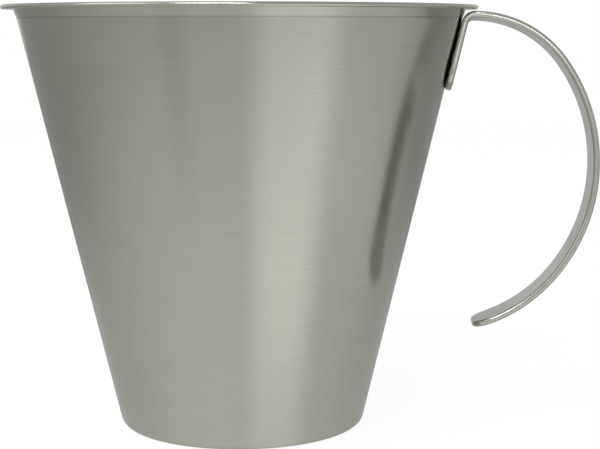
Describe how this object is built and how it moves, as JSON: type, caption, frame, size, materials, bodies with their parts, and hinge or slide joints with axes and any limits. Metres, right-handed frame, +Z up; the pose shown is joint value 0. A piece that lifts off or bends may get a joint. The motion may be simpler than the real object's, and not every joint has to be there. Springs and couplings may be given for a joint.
{
  "type": "measuring jug",
  "caption": "Open tapered steel measuring jug with a flared neck, a folded rim, measuring lines inside and an open strip handle.",
  "frame": {"origin": "on the jug's axis, in the plane of the ring that it stands on", "axes": "+Z up along the jug's axis, +X out through the handle, +Y across the handle, towards the wall whose inside carries the measuring lines"},
  "size_m": [0.1878, 0.15, 0.1344],
  "materials": {
    "vessel_steel": "satin, spun round the axis",
    "handle_steel": "satin, rounded edges",
    "weld_steel": "dull, heat tinted"
  },
  "bodies": {
    "root": {"jug_body": "vessel_steel", "handle": "handle_steel", "spot_welds": "weld_steel"}
  },
  "joints": []
}
